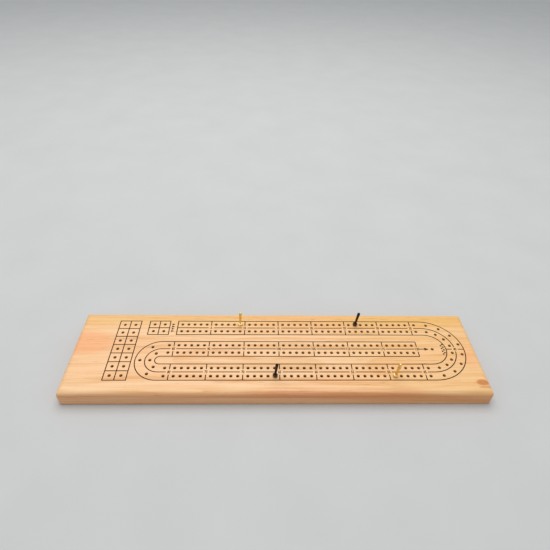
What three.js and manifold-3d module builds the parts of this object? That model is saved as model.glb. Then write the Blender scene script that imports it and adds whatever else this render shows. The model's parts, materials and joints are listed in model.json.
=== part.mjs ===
// Three-row cribbage board with turned metal pegs and a peg store under a sliding cover.
// Millimetres, +Z up. The origin is on the underside, at the middle of the board.
// +X runs along the board from the start boxes to the finish, +Y to the back row.

import * as THREE from "three";
import { mergeGeometries, mergeVertices } from "three/addons/utils/BufferGeometryUtils.js";
import Module from "manifold-3d";

const wasm = await Module();
wasm.setup();

// ---- track layout ----
const holePitch = 6; // hole to hole inside a group
const groupHoles = 5;
const groupCount = 7; // groups in each straight row
const groupGap = 9; // last hole of a group to the first hole of the next
const laneSpacing = 9; // outer lane to inner lane
const rowPitch = 27; // row centre line to row centre line
const railOffset = 9; // row centre line to the rail on either side of it
const wideCurveHoles = 8; // holes on the semicircle that joins the back and front rows
const tightCurveHoles = 3; // holes on the semicircle that joins the front and middle rows
const startCell = 10; // length of a start box along X
const startOffset = 22.3; // first track hole back to the middle of the start boxes
const gameColumns = 2;
const gameRows = 7;
const gameOffset = 40.9; // first track hole back to the near side of the game boxes
const finishOffset = 4; // centre of the wide curve on to the finish hole

// ---- board ----
const leftMargin = 36.5; // board end to the game boxes
const rightMargin = 10; // wide curve's outer rail to the board end
const frontMargin = 14.2;
const backMargin = 11.3;
const boardThickness = 15.5;
const topRound = 4.8; // radius worked on the top edges
const bottomRound = 0.8;
const cornerRadius = 2.6; // corners in plan, at the board's sides
const cornerEase = 1.3; // least corner radius, where the worked edges step in
const holeDiameter = 3;
const holeDepth = 9.5;

// ---- pegs ----
const shankEndRoom = 1.5; // shank tip to the bottom of its hole
const shankTopRoom = 0.55; // hole wall to the shank just below the collar
const shankTipRoom = 0.75; // hole wall to the shank at its tip
const collarDiameter = 4.5;
const collarHeight = 2;
const neckDiameter = 1.9; // narrowest point, just above the collar
const headDiameter = 2.8;
const pegHeight = 16.5; // collar's seat to the top of the dome
const seatGap = 0.12; // least gap between a seated peg and the board

// ---- peg store ----
const storeLength = 86;
const storeSideRoom = 1.45; // collar to the side wall
const storeHeadRoom = 1; // collar to the roof
const pegRest = 0.3; // collar to the cover below it
const storeEndRoom = 1;
const lipThickness = 1.3;
const lipOverhang = 2.1;
const lipSetback = 0.4; // store wall back to the edge of the lip
const coverThickness = 1;
const coverSideGap = 0.3;
const coverFaceGap = 0.25;
const coverOverlap = 4; // past each end of the store
const ridgeCount = 3;
const ridgeWidth = 0.8;
const ridgeHeight = 0.6;
const ridgePitch = 2.2;
const ridgeInset = 9; // cover end to the first ridge

// ---- fineness of the facets ----
const holeSides = 8;
const pegSides = 16;
const roundSteps = 4;
const endSteps = 8;

// ---- values that follow from the sizes above ----
const groupPeriod = (groupHoles - 1) * holePitch + groupGap;
const rowLength = groupCount * groupPeriod - groupGap;
const curveCentreGap = groupGap + holePitch; // end of a straight row to a curve's centre
const blockHalfWidth = rowPitch + railOffset;
const gameCell = (2 * blockHalfWidth) / gameRows;
const gameBlockLength = gameColumns * gameCell;
const leftOfTrack = leftMargin + gameBlockLength + gameOffset;
const rightOfTrack = curveCentreGap + blockHalfWidth + rightMargin;
const boardLength = leftOfTrack + rowLength + rightOfTrack;
const boardWidth = frontMargin + 2 * blockHalfWidth + backMargin;
const firstHoleX = -boardLength / 2 + leftOfTrack;
const lastHoleX = firstHoleX + rowLength;
const middleRowY = (frontMargin - backMargin) / 2;
const backRowY = middleRowY + rowPitch;
const frontRowY = middleRowY - rowPitch;
const wideCentreX = lastHoleX + curveCentreGap;
const tightCentreX = firstHoleX - curveCentreGap;

const shankLength = holeDepth - shankEndRoom;
const shankTopDiameter = holeDiameter - 2 * shankTopRoom;
const shankTipDiameter = holeDiameter - 2 * shankTipRoom;
const topPlay = shankTopRoom - seatGap; // how far a peg can shift in its hole's mouth
const mostLean = Math.asin((topPlay + shankTipRoom - seatGap) / shankLength);

const storeWidth = collarDiameter + 2 * storeSideRoom;
const slotHeight = coverThickness + 2 * coverFaceGap;
const storeFloorZ = lipThickness + slotHeight;
const storeDepth = pegRest + collarDiameter + storeHeadRoom;
const storeY = middleRowY - rowPitch / 2; // between the middle and front rows, clear of their holes
const lipOpening = storeWidth + 2 * lipSetback;
const slotWidth = lipOpening + 2 * lipOverhang;
const coverWidth = slotWidth - 2 * coverSideGap;
const coverLength = storeLength + 2 * coverOverlap;
const coverTravel = storeLength + coverOverlap;
const slotLength = coverLength + coverTravel + 2 * coverSideGap;
const storeX = -coverTravel / 2; // the whole slot is centred on the board
const coverZ = lipThickness + coverFaceGap;

// ---- solids ----

// A closed three.js geometry as a manifold-3d solid.
function solid(geometry) {
  const bare = geometry.index ? geometry.toNonIndexed() : geometry.clone();
  bare.deleteAttribute("normal");
  bare.deleteAttribute("uv");
  const merged = mergeVertices(bare, 1e-4);
  const mesh = new wasm.Mesh({
    numProp: 3,
    vertProperties: merged.attributes.position.array,
    triVerts: new Uint32Array(merged.index.array),
  });
  return new wasm.Manifold(mesh);
}

// A manifold-3d solid back as a three.js geometry.
function geometryOf(body) {
  const mesh = body.getMesh();
  const geometry = new THREE.BufferGeometry();
  geometry.setAttribute("position", new THREE.BufferAttribute(mesh.vertProperties, 3));
  geometry.setIndex(new THREE.BufferAttribute(mesh.triVerts, 1));
  geometry.computeVertexNormals();
  return geometry;
}

// A rectangle with rounded corners, centred on (x, y).
function roundedRectangle(length, width, radius, x = 0, y = 0) {
  const halfLength = length / 2 - radius;
  const halfWidth = width / 2 - radius;
  const shape = new THREE.Shape();
  shape.absarc(x + halfLength, y + halfWidth, radius, 0, Math.PI / 2);
  shape.absarc(x - halfLength, y + halfWidth, radius, Math.PI / 2, Math.PI);
  shape.absarc(x - halfLength, y - halfWidth, radius, Math.PI, 1.5 * Math.PI);
  shape.absarc(x + halfLength, y - halfWidth, radius, 1.5 * Math.PI, 2 * Math.PI);
  return shape;
}

// A flat-ended prism over a shape, from z = low to z = high.
function prism(shape, low, high, steps = endSteps) {
  const options = { depth: high - low, bevelEnabled: false, curveSegments: steps };
  return new THREE.ExtrudeGeometry(shape, options).translate(0, 0, low);
}

// The board's outline at one height, as points that run anticlockwise, stepped in by an inset.
function outlineAt(inset, height) {
  const radius = Math.max(cornerRadius - inset, cornerEase);
  const points = [];
  for (let corner = 0; corner < 4; corner += 1) {
    const signX = corner === 0 || corner === 3 ? 1 : -1;
    const signY = corner < 2 ? 1 : -1;
    const middleX = signX * (boardLength / 2 - inset - radius);
    const middleY = signY * (boardWidth / 2 - inset - radius);
    for (let step = 0; step <= roundSteps; step += 1) {
      const angle = ((corner + step / roundSteps) * Math.PI) / 2;
      points.push([middleX + radius * Math.cos(angle), middleY + radius * Math.sin(angle), height]);
    }
  }
  return points;
}

// The board's block, with a radius worked round the underside and another round the playing face.
function easedBlock() {
  const angles = [];
  for (let step = 0; step <= roundSteps; step += 1) angles.push((step / roundSteps) * (Math.PI / 2));
  const rings = [
    ...angles.map((angle) => outlineAt(bottomRound * (1 - Math.sin(angle)), bottomRound * (1 - Math.cos(angle)))),
    ...angles.map((angle) =>
      outlineAt(topRound * (1 - Math.cos(angle)), boardThickness - topRound * (1 - Math.sin(angle))),
    ),
  ];
  const lowest = rings[0];
  const highest = rings[rings.length - 1];
  const corners = [];
  for (let i = 0; i < lowest.length; i += 1) {
    const next = (i + 1) % lowest.length;
    corners.push([0, 0, 0], lowest[next], lowest[i]);
    corners.push([0, 0, boardThickness], highest[i], highest[next]);
    for (let level = 1; level < rings.length; level += 1) {
      const under = rings[level - 1];
      const over = rings[level];
      corners.push(under[i], under[next], over[next]);
      corners.push(under[i], over[next], over[i]);
    }
  }
  const geometry = new THREE.BufferGeometry();
  geometry.setAttribute("position", new THREE.Float32BufferAttribute(corners.flat(), 3));
  return solid(geometry);
}

// ---- holes ----

// X of each hole in a straight row, from left to right.
function rowXs() {
  const xs = [];
  for (let group = 0; group < groupCount; group++) {
    for (let hole = 0; hole < groupHoles; hole++) {
      xs.push(firstHoleX + group * groupPeriod + hole * holePitch);
    }
  }
  return xs;
}

// Hole centres spread evenly over a clockwise semicircle that starts at startAngle.
function curveHoles(centreX, centreY, radius, count, startAngle) {
  return Array.from({ length: count }, (_, i) => {
    const angle = startAngle - ((i + 0.5) / count) * Math.PI;
    return [centreX + radius * Math.cos(angle), centreY + radius * Math.sin(angle)];
  });
}

// One lane's holes in playing order; side is 1 for the outer lane and -1 for the inner.
function laneHoles(side) {
  const shift = (side * laneSpacing) / 2;
  const xs = rowXs();
  const wideRadius = rowPitch + shift;
  const tightRadius = rowPitch / 2 + shift;
  return [
    ...xs.map((x) => [x, backRowY + shift]),
    [lastHoleX + groupGap, middleRowY + wideRadius],
    ...curveHoles(wideCentreX, middleRowY, wideRadius, wideCurveHoles, Math.PI / 2),
    [lastHoleX + groupGap, middleRowY - wideRadius],
    ...xs.toReversed().map((x) => [x, frontRowY - shift]),
    [firstHoleX - groupGap, storeY - tightRadius],
    ...curveHoles(tightCentreX, storeY, tightRadius, tightCurveHoles, -Math.PI / 2),
    [firstHoleX - groupGap, storeY + tightRadius],
    ...xs.map((x) => [x, middleRowY + shift]),
  ];
}

// A hole in the middle of each box of a grid whose corner is (left, low).
function gridHoles(left, low, columns, rows, cellX, cellY) {
  const holes = [];
  for (let column = 0; column < columns; column++) {
    for (let row = 0; row < rows; row++) {
      holes.push([left + (column + 0.5) * cellX, low + (row + 0.5) * cellY]);
    }
  }
  return holes;
}

const outerLane = laneHoles(1);
const gameLeft = firstHoleX - gameOffset - gameBlockLength;
const startLeft = firstHoleX - startOffset - startCell;
const allHoles = [
  ...outerLane,
  ...laneHoles(-1),
  ...gridHoles(gameLeft, middleRowY - blockHalfWidth, gameColumns, gameRows, gameCell, gameCell),
  ...gridHoles(startLeft, backRowY - laneSpacing, 2, 2, startCell, laneSpacing),
  [wideCentreX + finishOffset, middleRowY],
];

// Every drilled hole as one cutter; its flats touch the true bore.
function holeCutter() {
  const radius = holeDiameter / 2 / Math.cos(Math.PI / holeSides);
  const overrun = 1;
  const drill = new THREE.CylinderGeometry(radius, radius, holeDepth + overrun, holeSides);
  drill.rotateX(Math.PI / 2);
  const z = boardThickness - holeDepth + (holeDepth + overrun) / 2;
  return solid(mergeGeometries(allHoles.map(([x, y]) => drill.clone().translate(x, y, z))));
}

// ---- pieces ----

// The slab with its drilled holes, the peg store and the undercut slot for the cover.
function boardGeometry() {
  const overrun = 3;
  const store = roundedRectangle(storeLength, storeWidth, storeWidth / 2, storeX, storeY);
  const slot = roundedRectangle(slotLength, slotWidth, slotWidth / 2, 0, storeY);
  const mouthLength = slotLength - 2 * lipOverhang;
  const mouth = roundedRectangle(mouthLength, lipOpening, lipOpening / 2, 0, storeY);
  const body = easedBlock()
    .subtract(holeCutter())
    .subtract(solid(prism(slot, lipThickness, storeFloorZ)))
    .subtract(solid(prism(mouth, -overrun, storeFloorZ - coverFaceGap)))
    .subtract(solid(prism(store, storeFloorZ - coverFaceGap, storeFloorZ + storeDepth)));
  return geometryOf(body);
}

// A turned peg, its axis on Z and the collar's seat at z = 0.
function pegGeometry() {
  const tip = shankTipDiameter / 2;
  const collar = collarDiameter / 2;
  const edge = collarHeight / 4;
  const head = headDiameter / 2;
  const profile = [
    [0, -shankLength],
    [tip * 0.7, -shankLength],
    [tip, -shankLength + tip * 0.4],
    [shankTopDiameter / 2, 0],
    [collar - edge, 0],
    [collar, edge],
    [collar, collarHeight - edge],
    [collar - edge, collarHeight],
    [neckDiameter / 2, collarHeight + edge],
    [head, pegHeight - head],
    [head * Math.cos(Math.PI / 4), pegHeight - head + head * Math.sin(Math.PI / 4)],
    [0, pegHeight],
  ];
  const points = profile.map(([r, z]) => new THREE.Vector2(r, z));
  return new THREE.LatheGeometry(points, pegSides).rotateX(Math.PI / 2);
}

// The cover plate with its row of thumb ridges, its lower face at z = 0.
function coverGeometry() {
  const plate = roundedRectangle(coverLength, coverWidth, coverWidth / 2);
  const ridgeLength = lipOpening - 4 * coverSideGap;
  let body = solid(prism(plate, 0, coverThickness));
  for (let i = 0; i < ridgeCount; i++) {
    const x = -coverLength / 2 + ridgeInset + i * ridgePitch;
    const ridge = roundedRectangle(ridgeWidth, ridgeLength, ridgeWidth / 2, x, 0);
    body = body.add(solid(prism(ridge, -ridgeHeight, coverThickness / 2, roundSteps)));
  }
  return geometryOf(body);
}

// ---- finishes ----
const wood = { color: 0xe9bf86, roughness: 0.5, metalness: 0 };
const brass = { color: 0xc79b4a, roughness: 0.3, metalness: 1 };
const blackMetal = { color: 0x2a1d17, roughness: 0.35, metalness: 1 };
const steel = { color: 0xb9bcc0, roughness: 0.35, metalness: 1 };

function piece(name, geometry, finish) {
  const mesh = new THREE.Mesh(geometry, new THREE.MeshStandardMaterial(finish));
  mesh.name = name;
  return mesh;
}

// ---- assembly ----

// A peg standing in an outer-lane hole. It leans towards +X, by a share of the most that the hole allows.
function standingPeg(name, finish, holeNumber, leanShare) {
  const angle = leanShare * mostLean;
  const [x, y] = outerLane[holeNumber - 1];
  const lift = seatGap + (collarDiameter / 2) * Math.sin(angle);
  const peg = piece(name, pegGeometry(), finish);
  peg.position.set(x + leanShare * topPlay, y, boardThickness + lift);
  peg.rotation.y = angle;
  return peg;
}

// A peg lying in the store with its tip at one end; end is -1 for the left and 1 for the right.
function storedPeg(name, finish, end) {
  const peg = piece(name, pegGeometry(), finish);
  const tipX = storeX + end * (storeLength / 2 - storeEndRoom);
  const axisZ = coverZ + coverThickness + pegRest + collarDiameter / 2;
  peg.rotation.y = (-end * Math.PI) / 2;
  peg.position.set(tipX - end * shankLength, storeY, axisZ);
  return peg;
}

const cribbageBoard = new THREE.Group();
cribbageBoard.add(piece("board", boardGeometry(), wood));
cribbageBoard.add(standingPeg("brass_peg_back", brass, 10, 0.1));
cribbageBoard.add(standingPeg("black_peg_back", blackMetal, 27, 0.92));
cribbageBoard.add(standingPeg("brass_peg_front", brass, 50, 0.85));
cribbageBoard.add(standingPeg("black_peg_front", blackMetal, 66, 0.66));
cribbageBoard.add(storedPeg("stored_brass_peg", brass, -1));
cribbageBoard.add(storedPeg("stored_black_peg", blackMetal, 1));

const cover = piece("store_cover", coverGeometry(), steel);
cover.position.set(storeX, storeY, coverZ);
cribbageBoard.add(cover);

export default cribbageBoard;
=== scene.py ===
"""Fine model of a three-row cribbage board, its metal pegs and its covered peg store.

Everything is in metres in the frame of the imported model: +X along the board to the finish,
+Y to the back row, +Z out of the playing face, and the origin on the underside.
"""

import json
import logging
import math
from dataclasses import dataclass, field
from enum import Enum
from typing import Any

import bmesh
import bpy
from mathutils import Matrix, Vector


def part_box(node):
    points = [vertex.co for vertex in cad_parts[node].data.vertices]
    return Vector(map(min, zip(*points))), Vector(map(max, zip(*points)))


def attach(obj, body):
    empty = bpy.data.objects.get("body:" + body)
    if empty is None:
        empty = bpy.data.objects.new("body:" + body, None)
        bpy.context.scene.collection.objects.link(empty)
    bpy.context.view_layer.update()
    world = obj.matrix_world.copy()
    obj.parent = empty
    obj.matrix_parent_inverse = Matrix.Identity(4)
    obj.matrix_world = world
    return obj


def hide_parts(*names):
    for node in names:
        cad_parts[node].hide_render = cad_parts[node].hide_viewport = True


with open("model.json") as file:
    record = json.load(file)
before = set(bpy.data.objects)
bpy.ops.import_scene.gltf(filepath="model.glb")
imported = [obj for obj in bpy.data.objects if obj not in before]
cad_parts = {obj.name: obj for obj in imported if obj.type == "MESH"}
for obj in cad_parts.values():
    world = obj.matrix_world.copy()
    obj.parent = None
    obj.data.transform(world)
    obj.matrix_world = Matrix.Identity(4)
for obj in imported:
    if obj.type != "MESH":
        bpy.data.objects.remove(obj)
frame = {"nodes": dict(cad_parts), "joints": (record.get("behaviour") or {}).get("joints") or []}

log = logging.getLogger("cribbage_board")

MM = 0.001

Plan = tuple[float, float]
Path = list[Plan]
Triple = tuple[float, float, float]
Colour = tuple[float, float, float, float]


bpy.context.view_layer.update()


def feed(tree: bpy.types.NodeTree, socket: bpy.types.NodeSocket, value: Any) -> None:
    """Links an output to a socket of the same tree, or sets the socket's value."""
    if isinstance(value, bpy.types.NodeSocket):
        tree.links.new(value, socket)
    else:
        socket.default_value = value


def middle(low: Vector, high: Vector) -> Plan:
    """The middle of a box in plan."""
    return ((high.x + low.x) / 2, (high.y + low.y) / 2)


def quarter_turn(steps: int) -> list[float]:
    """Angles from 0 to a right angle, both ends included."""
    return [i / steps * math.pi / 2 for i in range(steps + 1)]


def sunk(angle: float) -> float:
    """How far a unit quarter round falls short at an angle, from 1 at 0 to 0 at a right angle."""
    return 1 - math.sin(angle)


def drawn_in(angle: float) -> float:
    """How far a unit quarter round steps in at an angle, from 0 at 0 to 1 at a right angle."""
    return 1 - math.cos(angle)


# ---------------------------------------------------------------- meshes


class MeshShop:
    """Small mesh helpers that the pieces share."""

    @staticmethod
    def tidy(mesh: bpy.types.Mesh, merge: float = 0.001 * MM) -> bpy.types.Mesh:
        """Merges doubled vertices and turns every face outwards.

        Args:
            mesh: The mesh to clean in place.
            merge: Distance under which two vertices become one.

        Returns:
            The same mesh.
        """
        shape = bmesh.new()
        shape.from_mesh(mesh)
        bmesh.ops.remove_doubles(shape, verts=shape.verts, dist=merge)
        bmesh.ops.recalc_face_normals(shape, faces=shape.faces)
        shape.to_mesh(mesh)
        shape.free()
        return mesh

    @staticmethod
    def loft(name: str, rings: list[list[Vector]]) -> bpy.types.Mesh:
        """Skins equal rings of points into a closed mesh.

        Args:
            name: Name of the new mesh.
            rings: Rings from one end to the other; a ring of one point closes an end.

        Returns:
            The new mesh, faces outwards.
        """
        shape = bmesh.new()
        made = [[shape.verts.new(point) for point in ring] for ring in rings]
        for lower, upper in zip(made, made[1:]):
            count = max(len(lower), len(upper))
            for i in range(count):
                j = (i + 1) % count
                corners = [lower[k % len(lower)] for k in (i, j)] + [upper[k % len(upper)] for k in (j, i)]
                shape.faces.new(list(dict.fromkeys(corners)))
        for ring in (made[0], made[-1]):
            if len(ring) > 2:
                shape.faces.new(ring)
        bmesh.ops.recalc_face_normals(shape, faces=shape.faces)
        mesh = bpy.data.meshes.new(name)
        shape.to_mesh(mesh)
        shape.free()
        return mesh

    @staticmethod
    def rounded_outline(length: float, width: float, radius: float, steps: int) -> Path:
        """Corners of a rounded rectangle, anticlockwise and centred on the origin.

        Args:
            length: Size along X.
            width: Size along Y.
            radius: Corner radius; half the width gives round ends.
            steps: Facets in each corner.

        Returns:
            The outline's points.
        """
        points: Path = []
        for corner in range(4):
            sign_x = 1 if corner in (0, 3) else -1
            sign_y = 1 if corner in (0, 1) else -1
            for step in range(steps + 1):
                angle = (corner + step / steps) * math.pi / 2
                x = sign_x * (length / 2 - radius) + radius * math.cos(angle)
                y = sign_y * (width / 2 - radius) + radius * math.sin(angle)
                points.append((x, y))
        return points

    @staticmethod
    def slab(
        name: str,
        length: float,
        width: float,
        corner: float,
        levels: list[tuple[float, float]],
        centre: Plan,
        steps: int,
        least: float = 0.02 * MM,
    ) -> bpy.types.Mesh:
        """A closed slab with round corners whose side follows a list of levels.

        Args:
            name: Name of the new mesh.
            length: Size along X at zero inset.
            width: Size along Y at zero inset.
            corner: Corner radius at zero inset.
            levels: Pairs of height and inset, from one face to the other.
            centre: Middle of the slab in plan.
            steps: Facets in each corner.
            least: Smallest corner radius, where the side steps in.

        Returns:
            The new mesh.
        """
        rings = []
        for height, inset in levels:
            radius = max(corner - inset, least)
            outline = MeshShop.rounded_outline(length - 2 * inset, width - 2 * inset, radius, steps)
            rings.append([Vector((x + centre[0], y + centre[1], height)) for x, y in outline])
        return MeshShop.tidy(MeshShop.loft(name, rings))

    @staticmethod
    def joined(name: str, meshes: list[bpy.types.Mesh]) -> bpy.types.Mesh:
        """One mesh that holds several, each with its own first material kept.

        Args:
            name: Name of the new mesh.
            meshes: The meshes to hold; they are removed.

        Returns:
            The new mesh.
        """
        shape = bmesh.new()
        materials: list[bpy.types.Material] = []
        for mesh in meshes:
            first = len(shape.faces)
            shape.from_mesh(mesh)
            shape.faces.ensure_lookup_table()
            for material in mesh.materials[:1]:
                if material not in materials:
                    materials.append(material)
                for face in shape.faces[first:]:
                    face.material_index = materials.index(material)
        mesh = bpy.data.meshes.new(name)
        shape.to_mesh(mesh)
        shape.free()
        for material in materials:
            mesh.materials.append(material)
        for old in meshes:
            bpy.data.meshes.remove(old)
        return mesh

    @staticmethod
    def show(name: str, mesh: bpy.types.Mesh) -> bpy.types.Object:
        """Links a mesh into the scene as an object at the origin."""
        piece = bpy.data.objects.new(name, mesh)
        bpy.context.scene.collection.objects.link(piece)
        return piece

    @staticmethod
    def settled(piece: bpy.types.Object) -> None:
        """Bakes a piece's modifiers into its mesh and removes them."""
        bpy.context.view_layer.update()
        evaluated = piece.evaluated_get(bpy.context.evaluated_depsgraph_get())
        mesh = bpy.data.meshes.new_from_object(evaluated)
        piece.modifiers.clear()
        old = piece.data
        piece.data = mesh
        bpy.data.meshes.remove(old)

    @staticmethod
    def carve(piece: bpy.types.Object, cutter: bpy.types.Mesh) -> None:
        """Cuts closed shapes out of a piece; the cut faces keep the cutter's material.

        Args:
            piece: The piece to cut.
            cutter: Closed shapes that don't overlap; the mesh is removed.
        """
        MeshShop.tidy(cutter)
        tool = MeshShop.show("cutter", cutter)
        cut = piece.modifiers.new("cut", "BOOLEAN")
        cut.operation = "DIFFERENCE"
        cut.solver = "MANIFOLD"
        cut.material_mode = "TRANSFER"
        cut.object = tool
        MeshShop.settled(piece)
        bpy.data.objects.remove(tool)
        bpy.data.meshes.remove(cutter)

    @staticmethod
    def crisp(mesh: bpy.types.Mesh, angle: float = 32.0) -> None:
        """Shades a mesh smooth, with hard edges where faces meet at more than angle degrees."""
        mesh.shade_smooth()
        mesh.set_sharp_from_angle(angle=math.radians(angle))


# ---------------------------------------------------------------- geometry nodes


class PatternTree:
    """A geometry node tree under construction, with named inputs for its sizes."""

    def __init__(self, name: str, sizes: tuple[str, ...], counts: tuple[str, ...] = ()) -> None:
        """Starts the tree, whose inputs are its geometry, sizes, counts and material.

        Args:
            name: The tree's name.
            sizes: Names of the inputs that are lengths.
            counts: Names of the inputs that are whole numbers.
        """
        inputs = [("Geometry", "Geometry")]
        inputs += [(label, "Float") for label in sizes] + [(label, "Int") for label in counts]
        inputs.append(("Material", "Material"))
        self.tree = bpy.data.node_groups.new(name, "GeometryNodeTree")
        for label, kind in inputs:
            self.tree.interface.new_socket(label, in_out="INPUT", socket_type="NodeSocket" + kind)
        self.tree.interface.new_socket("Geometry", in_out="OUTPUT", socket_type="NodeSocketGeometry")
        self.given = self.tree.nodes.new("NodeGroupInput").outputs

    def node(self, kind: str, settings: dict[str, Any], **sockets: Any) -> bpy.types.Node:
        """Adds a node.

        Args:
            kind: The node's type.
            settings: Properties, set before the sockets.
            **sockets: Values or links by socket name, with underscores for spaces.

        Returns:
            The new node.
        """
        made = self.tree.nodes.new(kind)
        for key, value in settings.items():
            setattr(made, key, value)
        for key, value in sockets.items():
            feed(self.tree, made.inputs[key.replace("_", " ")], value)
        return made

    def figure(self, first: Any, second: Any, operation: str = "ADD") -> bpy.types.NodeSocket:
        """The result of a Math node on two values or links."""
        made = self.node("ShaderNodeMath", {"operation": operation})
        for socket, value in zip(made.inputs, (first, second)):
            feed(self.tree, socket, value)
        return made.outputs[0]

    def half(self, value: bpy.types.NodeSocket) -> bpy.types.NodeSocket:
        """Half of a link's value."""
        return self.figure(value, 0.5, "MULTIPLY")

    def close(self, geometry: bpy.types.NodeSocket) -> bpy.types.NodeTree:
        """Ends the tree in Realize Instances and Set Material.

        Args:
            geometry: The pattern's geometry.

        Returns:
            The finished tree.
        """
        real = self.node("GeometryNodeRealizeInstances", {}, Geometry=geometry)
        dressed = self.node(
            "GeometryNodeSetMaterial", {}, Geometry=real.outputs[0], Material=self.given["Material"]
        )
        self.tree.links.new(dressed.outputs[0], self.tree.nodes.new("NodeGroupOutput").inputs[0])
        return self.tree


def grown(
    name: str, seed: bpy.types.Mesh, tree: bpy.types.NodeTree, sizes: dict[str, Any]
) -> bpy.types.Mesh:
    """The plain mesh that a node tree makes of a seed mesh.

    Args:
        name: Name of the new mesh.
        seed: Mesh that holds the pattern's points or paths; it is removed.
        tree: The geometry node tree.
        sizes: Values for the tree's named inputs.

    Returns:
        The new mesh.
    """
    holder = bpy.data.objects.new(name, seed)
    bpy.context.scene.collection.objects.link(holder)
    modifier = holder.modifiers.new("pattern", "NODES")
    modifier.node_group = tree
    inputs = [item for item in tree.interface.items_tree if item.in_out == "INPUT"]
    identifiers = {item.name: item.identifier for item in inputs}
    for label, value in sizes.items():
        modifier[identifiers[label]] = value
    bpy.context.view_layer.update()
    evaluated = holder.evaluated_get(bpy.context.evaluated_depsgraph_get())
    mesh = bpy.data.meshes.new_from_object(evaluated)
    holder.modifiers.clear()
    bpy.data.objects.remove(holder)
    bpy.data.meshes.remove(seed)
    mesh.name = name
    return mesh


class Patterns:
    """The node trees that make whatever repeats on the board."""

    def __init__(self) -> None:
        """Builds each tree once."""
        self.drills = self._drill_tree()
        self.grooves = self._groove_tree()
        self.ridges = self._ridge_tree()

    @staticmethod
    def _drill_tree() -> bpy.types.NodeTree:
        """A tapered drill bit at every point, its mouth a little above the point."""
        sizes = ("Mouth Diameter", "Foot Diameter", "Depth", "Rise")
        work = PatternTree("drilled_holes", sizes, ("Sides",))
        given = work.given
        bit = work.node(
            "GeometryNodeMeshCone",
            {"fill_type": "NGON"},
            Vertices=given["Sides"],
            Radius_Top=work.half(given["Mouth Diameter"]),
            Radius_Bottom=work.half(given["Foot Diameter"]),
            Depth=work.figure(given["Depth"], given["Rise"]),
        )
        drop = work.node("ShaderNodeCombineXYZ", {}, Z=work.figure(0.0, given["Depth"], "SUBTRACT"))
        placed = work.node(
            "GeometryNodeTransform", {}, Geometry=bit.outputs["Mesh"], Translation=drop.outputs[0]
        )
        bits = work.node(
            "GeometryNodeInstanceOnPoints", {}, Points=given["Geometry"], Instance=placed.outputs[0]
        )
        return work.close(bits.outputs[0])

    @staticmethod
    def _groove_tree() -> bpy.types.NodeTree:
        """A square-sided groove along every path."""
        work = PatternTree("engraved_grooves", ("Width", "Depth", "Rise"))
        given = work.given
        path = work.node("GeometryNodeMeshToCurve", {}, Mesh=given["Geometry"])
        upright = work.node("GeometryNodeSetCurveNormal", {"mode": "Z_UP"}, Curve=path.outputs[0])
        profile = work.node(
            "GeometryNodeCurvePrimitiveQuadrilateral",
            {"mode": "RECTANGLE"},
            Width=given["Width"],
            Height=work.figure(given["Depth"], given["Rise"]),
        )
        swept = work.node(
            "GeometryNodeCurveToMesh",
            {},
            Curve=upright.outputs[0],
            Profile_Curve=profile.outputs[0],
            Fill_Caps=True,
        )
        centre = work.half(work.figure(given["Rise"], given["Depth"], "SUBTRACT"))
        lift = work.node("ShaderNodeCombineXYZ", {}, Z=centre)
        placed = work.node(
            "GeometryNodeTransform", {}, Geometry=swept.outputs[0], Translation=lift.outputs[0]
        )
        return work.close(placed.outputs[0])

    @staticmethod
    def _ridge_tree() -> bpy.types.NodeTree:
        """A row of low pressed ridges, one at each point."""
        work = PatternTree("thumb_ridges", ("Length", "Width", "Height"))
        given = work.given
        ball = work.node("GeometryNodeMeshUVSphere", {}, Segments=20, Rings=10, Radius=1.0)
        scale = work.node(
            "ShaderNodeCombineXYZ",
            {},
            X=work.half(given["Width"]),
            Y=work.half(given["Length"]),
            Z=given["Height"],
        )
        ridge = work.node(
            "GeometryNodeTransform", {}, Geometry=ball.outputs["Mesh"], Scale=scale.outputs[0]
        )
        ridges = work.node(
            "GeometryNodeInstanceOnPoints", {}, Points=given["Geometry"], Instance=ridge.outputs[0]
        )
        return work.close(ridges.outputs[0])


# ---------------------------------------------------------------- shaders


class Signal:
    """A number that varies over a surface; arithmetic on it adds Math nodes."""

    def __init__(self, shader: "Shader", socket: bpy.types.NodeSocket) -> None:
        """Wraps an output socket of a shader."""
        self.shader = shader
        self.socket = socket

    def _math(self, operation: str, *values: Any) -> "Signal":
        """The result of a Math node on the given values."""
        made = self.shader.node("ShaderNodeMath", {"operation": operation}, dict(enumerate(values)))
        return Signal(self.shader, made.outputs[0])

    def __add__(self, other: Any) -> "Signal":
        """Self plus other."""
        return self._math("ADD", self, other)

    __radd__ = __add__

    def __sub__(self, other: Any) -> "Signal":
        """Self minus other."""
        return self._math("SUBTRACT", self, other)

    def __rsub__(self, other: Any) -> "Signal":
        """Other minus self."""
        return self._math("SUBTRACT", other, self)

    def __mul__(self, other: Any) -> "Signal":
        """Self times other."""
        return self._math("MULTIPLY", self, other)

    __rmul__ = __mul__

    def __truediv__(self, other: Any) -> "Signal":
        """Self over other."""
        return self._math("DIVIDE", self, other)

    def __pow__(self, other: Any) -> "Signal":
        """Self to the power of other."""
        return self._math("POWER", self, other)

    def __abs__(self) -> "Signal":
        """Self without its sign."""
        return self._math("ABSOLUTE", self)

    def fraction(self) -> "Signal":
        """The part of self after the decimal point."""
        return self._math("FRACT", self)

    def step(self, low: float, high: float) -> "Signal":
        """Zero below low, one above high, and a smooth rise between them.

        Args:
            low: Value that gives zero.
            high: Value that gives one; it may be the smaller of the two.

        Returns:
            The stepped signal.
        """
        settings = {"interpolation_type": "SMOOTHSTEP"}
        sockets = {"Value": self, "From Min": low, "From Max": high}
        made = self.shader.node("ShaderNodeMapRange", settings, sockets)
        return Signal(self.shader, made.outputs[0])


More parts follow.
